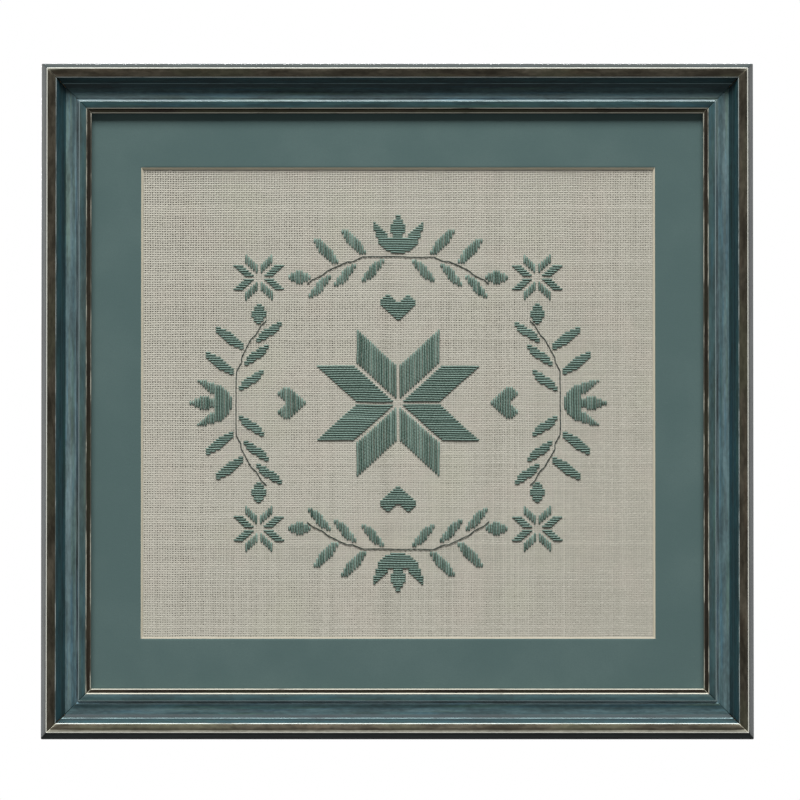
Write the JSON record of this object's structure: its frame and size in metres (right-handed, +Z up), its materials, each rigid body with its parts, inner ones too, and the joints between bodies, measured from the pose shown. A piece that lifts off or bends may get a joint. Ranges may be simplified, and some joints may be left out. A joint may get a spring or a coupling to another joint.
{
  "type": "framed embroidery picture with its frame and mat",
  "caption": "Flat evenweave cloth for counted embroidery, stretched behind a bevelled window mat in a mitred, stepped lacquered wood frame with a bronze rim and a plain backing board.",
  "frame": {"origin": "on the flat back of the top rail, half way along it, in the wall's plane", "axes": "+Z up, -Y the way the picture faces, +Y into the wall, +X to the right as seen from the front"},
  "size_m": [0.498, 0.022, 0.473],
  "materials": {
    "frame_lacquer": "teal lacquer with a bronze rim and lip, rubbed bright along its arrises",
    "mat_paper": "matt grey-teal paper face with a cream core",
    "evenweave": "cream evenweave cloth",
    "thread": "sage green stranded cotton",
    "backing": "plain brown board"
  },
  "bodies": {
    "root": {"rail_top": "frame_lacquer", "rail_bottom": "frame_lacquer", "rail_left": "frame_lacquer", "rail_right": "frame_lacquer", "mat": "mat_paper", "cloth": "evenweave", "backing_board": "backing"}
  },
  "joints": []
}
